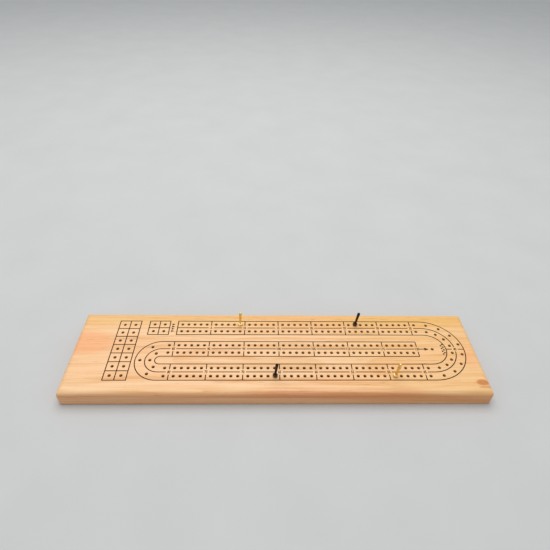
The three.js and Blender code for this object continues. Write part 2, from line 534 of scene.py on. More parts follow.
class Shader:
    """A material under construction."""

    def __init__(self, name: str) -> None:
        """Starts a material with one Principled shader."""
        self.material = bpy.data.materials.new(name)
        self.material.use_nodes = True
        self.tree = self.material.node_tree
        self.tree.nodes.clear()
        self.surface = self.tree.nodes.new("ShaderNodeBsdfPrincipled")
        output = self.tree.nodes.new("ShaderNodeOutputMaterial")
        self.tree.links.new(self.surface.outputs[0], output.inputs[0])
        self.place = self.tree.nodes.new("ShaderNodeTexCoord").outputs["Object"]
        split = self.node("ShaderNodeSeparateXYZ", {}, {0: self.place})
        self.x, self.y, self.z = (Signal(self, socket) for socket in split.outputs)

    def node(self, kind: str, settings: dict[str, Any], sockets: dict[Any, Any]) -> bpy.types.Node:
        """Adds a node.

        Args:
            kind: The node's type.
            settings: Properties, set first.
            sockets: Values or links by socket name or number.

        Returns:
            The new node.
        """
        made = self.tree.nodes.new(kind)
        for key, value in settings.items():
            setattr(made, key, value)
        for key, value in sockets.items():
            self.feed(made.inputs[key], value)
        return made

    def feed(self, socket: bpy.types.NodeSocket, value: Any) -> None:
        """Links a signal or an output to a socket, or sets its value."""
        feed(self.tree, socket, value.socket if isinstance(value, Signal) else value)

    def noise(self, stretch: Triple, detail: float = 2.0, offset: float = 0.0) -> Signal:
        """Noise on object coordinates, between 0 and 1.

        Args:
            stretch: Cycles per metre along X, Y and Z.
            detail: Octaves of finer noise.
            offset: Shift along every axis, to make one noise unlike another.

        Returns:
            The noise's value.
        """
        sockets = {"Vector": self.place, "Scale": stretch, "Location": (offset, offset, offset)}
        placed = self.node("ShaderNodeMapping", {}, sockets)
        sockets = {"Vector": placed.outputs[0], "Scale": 1.0, "Detail": detail}
        return Signal(self, self.node("ShaderNodeTexNoise", {}, sockets).outputs[0])

    def attribute(self, name: str) -> Signal:
        """A number that the mesh carries at each point."""
        made = self.node("ShaderNodeAttribute", {"attribute_name": name}, {})
        return Signal(self, made.outputs["Fac"])

    def reach(self, centre: Plan, radii: Plan, wobble: Signal) -> Signal:
        """Squared distance from a point in plan, one on an ellipse round it, made uneven.

        Args:
            centre: Middle of the ellipse.
            radii: Its half sizes along X and Y.
            wobble: Noise that makes the distance uneven.

        Returns:
            The distance, zero at the centre.
        """
        across = (self.x - centre[0]) / radii[0]
        along = (self.y - centre[1]) / radii[1]
        return across * across + along * along + (wobble - 0.5) * 1.6

    def blend(self, factor: Any, first: Any, second: Any) -> bpy.types.NodeSocket:
        """A colour between two, by a factor from 0 to 1."""
        made = self.node("ShaderNodeMix", {"data_type": "RGBA"}, {0: factor, 6: first, 7: second})
        return made.outputs[2]

    def bump(self, height: Signal, distance: float, strength: float = 1.0) -> bpy.types.NodeSocket:
        """A normal from a height that is worth distance metres at 1."""
        sockets = {"Height": height, "Distance": distance, "Strength": strength}
        return self.node("ShaderNodeBump", {}, sockets).outputs[0]

    def set(self, **values: Any) -> bpy.types.Material:
        """Sets the Principled shader's sockets by name, with underscores for spaces."""
        for key, value in values.items():
            self.feed(self.surface.inputs[key.replace("_", " ")], value)
        return self.material


@dataclass(frozen=True)
class HoneyWood:
    """Satin-finished honey wood with rings along the board, flecks, warm zones and one knot, and painted
    shade on its sides below the playing face.
    """

    light: Colour = (0.92, 0.585, 0.315, 1.0)
    deep: Colour = (0.77, 0.40, 0.15, 1.0)
    golden: Colour = (0.82, 0.45, 0.10, 1.0)
    peach: Colour = (0.92, 0.37, 0.15, 1.0)
    fleck: Colour = (0.40, 0.155, 0.045, 1.0)
    knot: Colour = (0.60, 0.19, 0.03, 1.0)
    russet: Colour = (0.66, 0.20, 0.07, 1.0)
    ring_width: float = 3.1 * MM
    pith: Plan = (-16 * MM, -62 * MM)

    def rings(self, shader: Shader) -> Signal:
        """Late wood of the growth rings, from 0 to 1, around a pith line below the board."""
        sway = shader.noise((6.0, 11.0, 11.0), 2.0) - 0.5
        roll = shader.noise((9.0, 16.0, 16.0), 1.0, 4.0) - 0.5
        across = shader.y - self.pith[0] + sway * (16 * MM)
        down = shader.z - self.pith[1] + roll * (12 * MM)
        radius = (across * across + down * down) ** 0.5
        phase = (radius / self.ring_width + sway * 0.8).fraction()
        return phase.step(0.35, 0.92) * phase.step(1.0, 0.94)

    def build(self) -> bpy.types.Material:
        """Builds the material."""
        shader = Shader("honey_wood")
        rings = self.rings(shader)
        streaks = shader.noise((14.0, 620.0, 620.0), 5.0)
        bands = shader.noise((3.5, 130.0, 130.0), 3.0, 2.0)
        zones = shader.noise((7.0, 22.0, 22.0), 2.0, 7.0)
        dashes = shader.noise((70.0, 1500.0, 1500.0), 3.0, 1.0)
        pores = shader.noise((260.0, 5200.0, 5200.0), 2.0, 3.0)
        depth = rings * 0.42 + streaks.step(0.40, 0.66) * 0.50 + bands.step(0.38, 0.68) * 0.46 - 0.12
        colour = shader.blend(depth, self.light, self.deep)
        back = (shader.y + zones * (14 * MM)).step(30 * MM, 46 * MM)
        right = (shader.x + zones * (60 * MM)).step(60 * MM, 150 * MM)
        colour = shader.blend(back * 0.45 + right * 0.28, colour, self.golden)
        left_zone = shader.reach((-181 * MM, 10 * MM), (30 * MM, 15 * MM), bands).step(1.4, 0.1)
        right_zone = shader.reach((181 * MM, -6 * MM), (9 * MM, 17 * MM), zones).step(1.4, 0.1)
        warm = zones.step(0.46, 0.70) * 0.16 + left_zone * 0.5 + right_zone * 0.3
        colour = shader.blend(warm, colour, self.peach)
        run = (shader.x + bands * (30 * MM)).step(-24 * MM, 24 * MM) * shader.x.step(150 * MM, 105 * MM)
        front = (shader.y + streaks * (3 * MM)).step(-38 * MM, -46 * MM) * shader.z.step(7 * MM, 13 * MM)
        streak = run * front * (0.3 + streaks.step(0.35, 0.6) * 0.7)
        colour = shader.blend(streak * 0.55, colour, self.russet)
        dash = dashes.step(0.60, 0.72) * bands.step(0.36, 0.60)
        colour = shader.blend(dash * 0.7 + pores.step(0.60, 0.75) * 0.28, colour, self.fleck)
        reach = shader.reach((183 * MM, -37.2 * MM), (5.6 * MM, 3.1 * MM), bands)
        eye = (reach * 2.2 + streaks * 0.9).fraction().step(0.45, 0.95) * reach.step(1.0, 0.7)
        tail = shader.reach((184 * MM, -42 * MM), (6.5 * MM, 1.3 * MM), streaks).step(1.3, 0.4)
        colour = shader.blend(reach.step(2.4, 0.6) * 0.3 + reach.step(1.15, 0.65) * 0.55, colour, self.knot)
        colour = shader.blend(eye * 0.3 + tail * 0.45, colour, self.fleck)
        # Painted shade: below the playing face the roundovers and sides are blended toward russet, so they
        # render darker and redder than the top.
        side = shader.z.step(15.1 * MM, 11.4 * MM)
        colour = shader.blend(side * (0.28 + bands.step(0.4, 0.65) * 0.3), colour, self.russet)
        relief = streaks * 0.45 + rings * 0.25 - dash * 0.6 - pores.step(0.6, 0.75) * 0.35
        sheen = 0.38 + streaks * 0.16 + dash * 0.2
        return shader.set(
            Base_Color=colour,
            Roughness=sheen,
            Normal=shader.bump(relief, 0.05 * MM, 0.55),
            Specular_IOR_Level=0.4,
            Coat_Weight=0.12,
            Coat_Roughness=0.3,
        )


@dataclass(frozen=True)
class ScorchedWood:
    """Burnt wood on the walls and floors of the engraved lines, and painted shade on the walls and floors
    of the drilled holes.
    """

    name: str
    rim: Colour
    floor: Colour
    top: float
    shallow: float
    deep: float

    def build(self) -> bpy.types.Material:
        """Builds the material, darker with depth below the playing face."""
        shader = Shader(self.name)
        grain = shader.noise((300.0, 1800.0, 1800.0), 4.0)
        # Darker with depth below the playing face: char in the engraved lines, painted shade in the drilled
        # holes.
        down = (self.top - shader.z).step(self.shallow, self.deep)
        colour = shader.blend(down * 0.8 + grain * 0.3, self.rim, self.floor)
        return shader.set(
            Base_Color=colour,
            Roughness=0.78 + grain * 0.2,
            Normal=shader.bump(grain, 0.06 * MM, 0.6),
            Specular_IOR_Level=0.15,
        )


@dataclass(frozen=True)
class TurnedMetal:
    """Lathe-turned metal with fine rings round the axis, handling marks and worn edges."""

    name: str
    bright: Colour
    dull: Colour
    worn: Colour
    polish: float
    wear: float
    metallic: float = 1.0
    turning: float = 0.34 * MM

    def build(self) -> bpy.types.Material:
        """Builds the material; it reads a piece's "along" and "out" attributes."""
        shader = Shader(self.name)
        along = shader.attribute("along")
        out = shader.attribute("out")
        smear = shader.noise((260.0, 260.0, 260.0), 4.0)
        speck = shader.noise((1900.0, 1900.0, 1900.0), 3.0, 5.0)
        turned = abs((along * (1 / self.turning)).fraction() - 0.5) * 2.0
        colour = shader.blend(smear.step(0.35, 0.7), self.bright, self.dull)
        edges = out.step(0.72, 0.98) * smear.step(0.35, 0.62) * self.wear
        rubbed = edges + speck.step(0.68, 0.8) * self.wear * 0.4
        colour = shader.blend(rubbed, colour, self.worn)
        return shader.set(
            Base_Color=colour,
            Metallic=self.metallic,
            Roughness=self.polish + smear * 0.18 + turned * 0.06,
            Normal=shader.bump(turned * 0.5 + speck * 0.5, 0.012 * MM, 0.5),
        )


@dataclass(frozen=True)
class BrushedSteel:
    """Steel plate brushed along its length, with darker patches and faint scratches."""

    light: Colour = (0.62, 0.62, 0.61, 1.0)
    dark: Colour = (0.40, 0.40, 0.41, 1.0)

    def build(self) -> bpy.types.Material:
        """Builds the material."""
        shader = Shader("brushed_steel")
        brushing = shader.noise((30.0, 4200.0, 4200.0), 4.0)
        patches = shader.noise((90.0, 90.0, 90.0), 3.0, 2.0)
        scratches = shader.noise((900.0, 60.0, 60.0), 2.0, 6.0).step(0.72, 0.78)
        colour = shader.blend(brushing * 0.5 + patches * 0.4, self.light, self.dark)
        return shader.set(
            Base_Color=colour,
            Metallic=1.0,
            Roughness=0.26 + brushing * 0.16 + patches * 0.1,
            Normal=shader.bump(brushing * 0.6 - scratches * 0.5, 0.015 * MM, 0.6),
        )


@dataclass(frozen=True)
class PaleFloor:
    """Plain pale floor with a faint mottle."""

    light: Colour = (0.60, 0.60, 0.59, 1.0)
    dark: Colour = (0.54, 0.54, 0.53, 1.0)

    def build(self) -> bpy.types.Material:
        """Builds the material."""
        shader = Shader("pale_floor")
        mottle = shader.noise((14.0, 14.0, 14.0), 4.0)
        return shader.set(Base_Color=shader.blend(mottle, self.light, self.dark), Roughness=0.85)


# ---------------------------------------------------------------- track


class Lane(Enum):
    """The two lanes of the track, by the side of its centre line that they are on."""

    OUTER = 1
    INNER = -1


@dataclass(frozen=True)
class Track:
    """Where the holes and the engraved lines lie in plan."""

    left_end: float
    front_edge: float
    hole_pitch: float = 6 * MM
    group_holes: int = 5
    group_count: int = 7
    group_gap: float = 9 * MM
    lane_spacing: float = 9 * MM
    row_pitch: float = 27 * MM
    rail_offset: float = 9 * MM
    wide_holes: int = 8
    tight_holes: int = 3
    start_cell: float = 10 * MM
    start_offset: float = 22.3 * MM
    game_columns: int = 2
    game_rows: int = 7
    game_offset: float = 40.9 * MM
    finish_offset: float = 4 * MM
    left_margin: float = 36.5 * MM
    front_margin: float = 14.2 * MM
    wide_squash: float = 0.045
    arc_step: float = math.radians(4)

    @property
    def half_block(self) -> float:
        """Middle row to the outermost rail."""
        return self.row_pitch + self.rail_offset

    @property
    def game_cell(self) -> float:
        """Side of a square game box."""
        return 2 * self.half_block / self.game_rows

    @property
    def first_x(self) -> float:
        """X of the first hole of a straight row."""
        return self.left_end + self.left_margin + self.game_columns * self.game_cell + self.game_offset

    @property
    def group_period(self) -> float:
        """First hole of a group to the first hole of the next."""
        return (self.group_holes - 1) * self.hole_pitch + self.group_gap

    @property
    def last_x(self) -> float:
        """X of the last hole of a straight row."""
        return self.first_x + self.group_count * self.group_period - self.group_gap

    @property
    def middle_y(self) -> float:
        """Y of the middle row's centre line."""
        return self.front_edge + self.front_margin + self.half_block

    @property
    def curve_gap(self) -> float:
        """End of a straight row to a curve's centre."""
        return self.group_gap + self.hole_pitch

    @property
    def wide_centre(self) -> Plan:
        """Centre of the curve that joins the back and front rows."""
        return (self.last_x + self.curve_gap, self.middle_y)

    @property
    def tight_centre(self) -> Plan:
        """Centre of the curve that joins the front and middle rows."""
        return (self.first_x - self.curve_gap, self.middle_y - self.row_pitch / 2)

    def row_xs(self) -> list[float]:
        """X of each hole in a straight row."""
        return [
            self.first_x + group * self.group_period + hole * self.hole_pitch
            for group in range(self.group_count)
            for hole in range(self.group_holes)
        ]

    @staticmethod
    def around(centre: Plan, radius: float, angles: list[float]) -> Path:
        """Points on a circle at the given angles."""
        return [(centre[0] + radius * math.cos(a), centre[1] + radius * math.sin(a)) for a in angles]

    def lane(self, lane: Lane) -> Path:
        """One lane's holes in playing order.

        Args:
            lane: Which lane.

        Returns:
            The hole centres.
        """
        shift = lane.value * self.lane_spacing / 2
        wide = self.row_pitch + shift
        tight = self.row_pitch / 2 + shift
        back = self.middle_y + self.row_pitch + shift
        front = self.middle_y - self.row_pitch - shift
        wide_angles, tight_angles = (
            [start - (i + 0.5) / count * math.pi for i in range(count)]
            for start, count in ((math.pi / 2, self.wide_holes), (-math.pi / 2, self.tight_holes))
        )
        xs = self.row_xs()
        return [
            *((x, back) for x in xs),
            (self.last_x + self.group_gap, back),
            *self.around(self.wide_centre, wide, wide_angles),
            (self.last_x + self.group_gap, front),
            *((x, front) for x in reversed(xs)),
            (self.first_x - self.group_gap, front),
            *self.around(self.tight_centre, tight, tight_angles),
            (self.first_x - self.group_gap, self.middle_y + shift),
            *((x, self.middle_y + shift) for x in xs),
        ]

    @property
    def start_left(self) -> float:
        """Left side of the start boxes."""
        return self.first_x - self.start_offset - self.start_cell

    @property
    def game_left(self) -> float:
        """Left side of the game boxes."""
        return self.first_x - self.game_offset - self.game_columns * self.game_cell

    @property
    def back_y(self) -> float:
        """Y of the back row's centre line."""
        return self.middle_y + self.row_pitch

    def holes(self) -> Path:
        """Every drilled hole's centre."""
        start = [
            (self.start_left + (i + 0.5) * self.start_cell, self.back_y + side * self.lane_spacing / 2)
            for i in range(2)
            for side in (-1, 1)
        ]
        left, low = self.game_left, self.middle_y - self.half_block
        game = [
            (left + (i + 0.5) * self.game_cell, low + (j + 0.5) * self.game_cell)
            for i in range(self.game_columns)
            for j in range(self.game_rows)
        ]
        finish = [(self.wide_centre[0] + self.finish_offset, self.middle_y)]
        return self.lane(Lane.OUTER) + self.lane(Lane.INNER) + start + game + finish

    def ribbon(self, offset: float) -> Path:
        """A line that follows the whole track at a distance from its centre line.

        Args:
            offset: Distance to the outer side; negative is the inner side.

        Returns:
            The line's points, from the start to the end of play.
        """
        half_gap = self.group_gap / 2
        steps = round(math.pi / self.arc_step)
        wide_angles = [math.pi / 2 - i / steps * math.pi for i in range(steps + 1)]
        tight_angles = [angle - math.pi for angle in wide_angles]
        wide = self.row_pitch + offset
        centre = (self.wide_centre[0] - self.wide_squash * wide, self.middle_y)
        return [
            (self.first_x - half_gap, self.back_y + offset),
            *self.around(centre, wide, wide_angles),
            *self.around(self.tight_centre, self.row_pitch / 2 + offset, tight_angles),
            (self.last_x + half_gap, self.middle_y + offset),
        ]

    def stations(self) -> list[tuple[int, Plan, Plan]]:
        """Every numbered divider.

        Returns:
            The count there, the divider's middle, and the direction across the track.
        """
        half_gap = self.group_gap / 2
        edges = [self.first_x - half_gap + i * self.group_period for i in range(self.group_count + 1)]
        up = (0.0, 1.0)
        spots = [((x, self.back_y), up) for x in edges[1:]]
        scale = 1 - self.wide_squash
        spots.append(((self.wide_centre[0] + self.row_pitch * scale, self.middle_y), (scale, 0.0)))
        spots += [((x, self.middle_y - self.row_pitch), up) for x in reversed(edges)]
        spots += [((x, self.middle_y), up) for x in edges]
        return [(self.group_holes * (i + 1), middle, across) for i, (middle, across) in enumerate(spots)]


def broken(path: Path, centres: Path, gap: float) -> list[Path]:
    """A path with its stretches near some points left out.

    Args:
        path: The path's points.
        centres: Points that the path keeps clear of.
        gap: How far it keeps clear.

    Returns:
        The stretches that are left.
    """
    stretches: list[Path] = [[]]
    for start, end in zip(path, path[1:]):
        a, run = Vector(start), Vector(end) - Vector(start)
        cuts = []
        for centre in centres:
            toward = Vector(centre) - a
            nearest = toward.dot(run) / run.length_squared
            miss = (toward - run * nearest).length
            if miss < gap:
                half = math.sqrt(gap * gap - miss * miss) / run.length
                cuts.append((nearest - half, nearest + half))
        at = 0.0
        for low, high in sorted(cuts):
            if high <= 0 or low >= 1:
                continue
            if low > at:
                stretches[-1] += [tuple(a + run * at), tuple(a + run * low)]
            stretches.append([])
            at = max(at, high)
        if at < 1:
            stretches[-1] += [tuple(a + run * at), end]
    return [stretch for stretch in stretches if len(stretch) > 1]


# ---------------------------------------------------------------- board


@dataclass(frozen=True)
class StoreSlot:
    """The peg store and the undercut slot of its cover, in the underside."""

    length: float = 86 * MM
    width: float = 7.4 * MM
    depth: float = 5.8 * MM
    lip_thickness: float = 1.3 * MM
    lip_opening: float = 8.2 * MM
    slot_width: float = 12.4 * MM
    slot_height: float = 1.5 * MM
    slot_length: float = 184.6 * MM
    lip_overhang: float = 2.1 * MM
    overrun: float = 1 * MM
    overlap: float = 0.2 * MM
    end_steps: int = 14

    def cutters(self, cover_box: tuple[Vector, Vector]) -> list[bpy.types.Mesh]:
        """The cuts that make the store, in the order they are made.

        Args:
            cover_box: The shut cover's corners, which fix where the store is.

        Returns:
            One closed mesh for each cut.
        """
        x, y = middle(*cover_box)
        roof = self.lip_thickness + self.slot_height
        mouth_length = self.slot_length - 2 * self.lip_overhang
        cuts = [
            (self.slot_length, self.slot_width, self.lip_thickness, roof, 0.0),
            (mouth_length, self.lip_opening, -self.overrun, roof - self.overlap, 0.0),
            (self.length, self.width, roof - self.overlap, roof + self.depth, x),
        ]
        return [
            MeshShop.slab(
                "cut", length, width, width / 2, [(low, 0.0), (high, 0.0)], (centre, y), self.end_steps
            )
            for length, width, low, high, centre in cuts
        ]


@dataclass
class WoodenBoard:
    """The slab with its drilled holes, engraved track and peg store."""

    patterns: Patterns
    track: Track
    low: Vector
    high: Vector
    top_round: float = 4.8 * MM
    bottom_round: float = 0.8 * MM
    corner: float = 2.6 * MM
    corner_ease: float = 1.3 * MM
    flat: float = 0.25 * MM
    round_steps: int = 10
    hole_diameter: float = 3 * MM
    hole_depth: float = 9.5 * MM
    hole_sides: int = 24
    mouth_ease: float = 0.1 * MM
    line_width: float = 0.92 * MM
    line_depth: float = 0.42 * MM
    rise: float = 0.5 * MM
    label_gap: float = 2.7 * MM
    divider_gap: float = 3.0 * MM
    label_height: float = 3.2 * MM
    label_squeeze: float = 0.68
    label_weight: float = 0.11 * MM
    shaft_start: float = 1.6 * MM
    shaft_length: float = 5.4 * MM
    arrow_reach: float = 11.2 * MM
    arrow_length: float = 4.4 * MM
    arrow_half_width: float = 1.8 * MM
    wedge_offset: float = 8.6 * MM
    wedge_pitch: float = 2.9 * MM
    wedge_half_length: float = 1.5 * MM
    wedge_half_width: float = 1.3 * MM
    wedge_count: int = 4
    chequer: float = 1.7 * MM
    chequer_fill: float = 0.92
    chequer_offset: float = 14.1 * MM
    chequer_rows: int = 8
    store: StoreSlot = field(default_factory=StoreSlot)

    def __post_init__(self) -> None:
        """Makes the finishes and the painted shade of the drilled holes."""
        self.wood = HoneyWood().build()
        top = self.high.z
        burnt_rim, burnt_floor = (0.15, 0.052, 0.014, 1.0), (0.060, 0.020, 0.006, 1.0)
        # Painted shade in the drilled holes: the bore walls go from the honey wood colour at the mouth to
        # dark brown 3 mm down.
        bore_rim, bore_shaded_floor = (0.92, 0.56, 0.26, 1.0), (0.26, 0.10, 0.032, 1.0)
        self.line_finish = ScorchedWood("burnt_line", burnt_rim, burnt_floor, top, 0.0, 0.4 * MM).build()
        self.bore_finish = ScorchedWood("bored_wood_painted_shade", bore_rim, bore_shaded_floor, top, 0.5 * MM, 3 * MM).build()

    def block(self) -> bpy.types.Object:
        """The plain slab with its eased edges."""
        steps = quarter_turn(self.round_steps)
        ease, top = self.bottom_round, self.high.z
        levels = [(0.0, ease + self.flat)]
        levels += [(ease * sunk(a), ease * drawn_in(a)) for a in reversed(steps)]
        levels += [(top - self.top_round * sunk(a), self.top_round * drawn_in(a)) for a in steps]
        levels.append((top, self.top_round + self.flat))
        size, centre = self.high - self.low, middle(self.low, self.high)
        mesh = MeshShop.slab(
            "board_wood", size.x, size.y, self.corner, levels, centre, self.round_steps, self.corner_ease
        )
        mesh.materials.append(self.wood)
        return MeshShop.show("board_wood", mesh)

    def seed_points(self, points: Path) -> bpy.types.Mesh:
        """A mesh with one loose vertex on the playing face at each point."""
        mesh = bpy.data.meshes.new("points")
        mesh.from_pydata([(x, y, self.high.z) for x, y in points], [], [])
        return mesh

    def seed_paths(self, paths: list[Path]) -> bpy.types.Mesh:
        """A mesh with one chain of edges on the playing face for each path."""
        vertices: list[tuple[float, float, float]] = []
        edges: list[tuple[int, int]] = []
        for path in paths:
            for i, (x, y) in enumerate(path):
                if i:
                    edges.append((len(vertices) - 1, len(vertices)))
                vertices.append((x, y, self.high.z))
        mesh = bpy.data.meshes.new("paths")
        mesh.from_pydata(vertices, edges, [])
        shape = bmesh.new()
        shape.from_mesh(mesh)
        bmesh.ops.remove_doubles(shape, verts=shape.verts, dist=0.01 * MM)
        shape.to_mesh(mesh)
        shape.free()
        return mesh

    def drill(self, board: bpy.types.Object) -> None:
        """Drills every hole and eases its mouth."""
        ease = self.mouth_ease
        passes = [
            (self.hole_diameter, self.hole_diameter, self.hole_depth, self.rise),
            (self.hole_diameter + 4 * ease, self.hole_diameter, ease, ease),
        ]
        for mouth, foot, depth, rise in passes:
            sizes = {
                "Mouth Diameter": mouth,
                "Foot Diameter": foot,
                "Depth": depth,
                "Rise": rise,
                "Sides": self.hole_sides,
                "Material": self.bore_finish,
            }
            bits = grown("bits", self.seed_points(self.track.holes()), self.patterns.drills, sizes)
            MeshShop.carve(board, bits)

    def ribbon_lines(self) -> list[Path]:
        """The rails and the broken centre line."""
        track = self.track
        labels = [spot for _, spot, _ in track.stations()]
        rails = [track.ribbon(track.rail_offset), track.ribbon(-track.rail_offset)]
        return rails + broken(track.ribbon(0.0), labels, self.label_gap)

    def box_lines(self) -> tuple[list[Path], list[Path]]:
        """The lines of the start and game boxes and the arrow's shaft.

        Returns:
            The lines along X and the lines along Y.
        """
        track, over = self.track, self.line_width / 2
        low, cell = track.middle_y - track.half_block, track.game_cell
        grids = [
            (track.game_left, low, track.game_columns, track.game_rows, cell),
            (track.start_left, track.back_y - track.rail_offset, 2, 2, track.start_cell),
        ]
        along: list[Path] = []
        across: list[Path] = []
        for left, low, columns, rows, cell in grids:
            tall = cell if rows > 2 else track.rail_offset
            right, high = left + columns * cell, low + rows * tall
            for y in (low + j * tall for j in range(rows + 1)):
                along.append([(left - over, y), (right + over, y)])
            for x in (left + i * cell for i in range(columns + 1)):
                across.append([(x, low - over), (x, high + over)])
        tail = track.last_x + track.group_gap / 2 + self.shaft_start
        along.append([(tail, track.middle_y), (tail + self.shaft_length, track.middle_y)])
        return along, across

    def dividers(self) -> list[Path]:
        """The lines across the track at each number, and the line that shuts its first end."""
        track = self.track
        lines: list[Path] = []
        for _, (x, y), (dx, dy) in track.stations():
            for side in (-1, 1):
                near, far = side * self.divider_gap, side * track.rail_offset
                lines.append([(x + dx * near, y + dy * near), (x + dx * far, y + dy * far)])
        start = track.first_x - track.group_gap / 2
        over = track.rail_offset + self.line_width / 2
        lines.append([(start, track.back_y - over), (start, track.back_y + over)])
        return lines

    def engrave(self, board: bpy.types.Object, paths: list[Path], depth: float) -> None:
        """Cuts a groove along each path.

        Args:
            board: The board.
            paths: Paths that don't cross each other.
            depth: Depth of the grooves.
        """
        sizes = {"Width": self.line_width, "Depth": depth, "Rise": self.rise, "Material": self.line_finish}
        MeshShop.carve(board, grown("grooves", self.seed_paths(paths), self.patterns.grooves, sizes))

    def stamp(self, outline: Path) -> bpy.types.Mesh:
        """A closed punch with the given outline, sunk to the depth of the lines."""
        low, high = self.high.z - self.line_depth, self.high.z + self.rise
        rings = [[Vector((x, y, z)) for x, y in outline] for z in (low, high)]
        mesh = MeshShop.loft("stamp", rings)
        mesh.materials.append(self.line_finish)
        return mesh

    def pointer(self, tip: float, y: float, length: float, half_width: float) -> bpy.types.Mesh:
        """A triangular punch that points along the board, with its tip at x = tip."""
        return self.stamp([(tip, y), (tip - length, y + half_width), (tip - length, y - half_width)])

    def numeral(self, count: int, spot: Plan) -> bpy.types.Mesh:
        """A number as a closed punch, upright to the front and centred on a point."""
        text = bpy.data.curves.new("numeral", "FONT")
        text.body = str(count)
        text.align_x, text.align_y = "CENTER", "CENTER"
        text.size = 1.0
        text.resolution_u = 3
        text.extrude = 0.5
        text.offset = self.label_weight / self.label_height
        holder = bpy.data.objects.new("numeral", text)
        bpy.context.scene.collection.objects.link(holder)
        bpy.context.view_layer.update()
        mesh = bpy.data.meshes.new_from_object(holder.evaluated_get(bpy.context.evaluated_depsgraph_get()))
        bpy.data.objects.remove(holder)
        bpy.data.curves.remove(text)
        corners = [vertex.co.copy() for vertex in mesh.vertices]
        tall = max(c.y for c in corners) - min(c.y for c in corners)
        centre_x = (max(c.x for c in corners) + min(c.x for c in corners)) / 2
        centre_y = (max(c.y for c in corners) + min(c.y for c in corners)) / 2
        scale = self.label_height / tall
        squeeze = scale * self.label_squeeze
        thick = self.line_depth + self.rise
        mid_z = self.high.z + (self.rise - self.line_depth) / 2
        shift = Matrix.Translation((*spot, mid_z))
        size = Matrix.Diagonal((squeeze, scale, thick, 1.0))
        mesh.transform(shift @ size @ Matrix.Translation((-centre_x, -centre_y, 0.0)))
        mesh.materials.clear()
        mesh.materials.append(self.line_finish)
        return MeshShop.tidy(mesh, 0.004 * MM)

    def marks(self) -> list[bpy.types.Mesh]:
        """The numbers, the arrow's head, and plain marks at the start and the finish."""
        track = self.track
        stamps = [self.numeral(count, spot) for count, spot, _ in track.stations()]
        tip = track.last_x + track.group_gap / 2 + self.arrow_reach
        stamps.append(self.pointer(tip, track.middle_y, self.arrow_length, self.arrow_half_width))
        tip = track.first_x - self.wedge_offset + self.wedge_half_length
        for i in range(self.wedge_count):
            y = track.back_y + (i - (self.wedge_count - 1) / 2) * self.wedge_pitch
            stamps.append(self.pointer(tip, y, 2 * self.wedge_half_length, self.wedge_half_width))
        flag_x = track.wide_centre[0] + self.chequer_offset
        half = self.chequer * self.chequer_fill / 2
        turns = ((-half, -half), (half, -half), (half, half), (-half, half))
        for row in range(self.chequer_rows):
            x = flag_x + (0.5 if row % 2 else -0.5) * self.chequer
            y = track.middle_y + (row - (self.chequer_rows - 1) / 2) * self.chequer
            stamps.append(self.stamp([(x + dx, y + dy) for dx, dy in turns]))
        return stamps

    def build(self) -> bpy.types.Object:
        """Makes the whole board.

        Returns:
            The board's object.
        """
        board = self.block()
        self.drill(board)
        along, across = self.box_lines()
        self.engrave(board, self.ribbon_lines(), self.line_depth)
        self.engrave(board, along, self.line_depth * 0.96)
        self.engrave(board, across + self.dividers(), self.line_depth * 1.04)
        MeshShop.carve(board, MeshShop.joined("marks", self.marks()))
        for cutter in self.store.cutters(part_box("store_cover")):
            cutter.materials.append(self.wood)
            MeshShop.carve(board, cutter)
        MeshShop.crisp(board.data)
        return board


# ---------------------------------------------------------------- pegs


class PegFinish(Enum):
    """The two players' metals."""

    BRASS = "brass"
    BLACK = "black_metal"


@dataclass(frozen=True)
class PegShape:
    """Sizes of a turned peg, from its tip to its domed head."""

    shank_length: float = 8 * MM
    shank_top: float = 0.95 * MM
    shank_tip: float = 0.75 * MM
    collar: float = 2.25 * MM
    collar_height: float = 2 * MM
    collar_ease: float = 0.4 * MM
    neck: float = 0.95 * MM
    head: float = 1.4 * MM
    height: float = 16.5 * MM
    tip_ease: float = 0.3 * MM
    fillet: float = 0.7 * MM
    ease_steps: int = 4
    dome_steps: int = 7
    sides: int = 40

    def profile(self) -> list[tuple[float, float]]:
        """Radius and height of each ring, the collar's seat at zero height."""
        ease, tip_ease, fillet, rim = self.collar_ease, self.tip_ease, self.fillet, self.collar_height
        top, stem_foot = self.height - self.head, rim + fillet
        quarter = quarter_turn(self.ease_steps)
        dome = quarter_turn(self.dome_steps)[1:-1]
        foot = -self.shank_length
        tip = [(self.shank_tip - tip_ease * sunk(a), foot + tip_ease * drawn_in(a)) for a in quarter]
        lower = [(self.collar - ease * sunk(a), ease * drawn_in(a)) for a in quarter]
        upper = [(self.collar - ease * drawn_in(a), rim - ease * sunk(a)) for a in quarter]
        root = [(self.neck + fillet * sunk(a), rim + fillet * drawn_in(a)) for a in quarter]
        stem = [
            (self.neck + (self.head - self.neck) * t, stem_foot + (top - stem_foot) * t)
            for t in (0.15, 0.4, 0.7, 0.93, 1.0)
        ]
        crown = [(self.head * math.cos(a), top + self.head * math.sin(a)) for a in dome]
        return tip + [(self.shank_top, 0.0)] + lower + upper + root + stem + crown


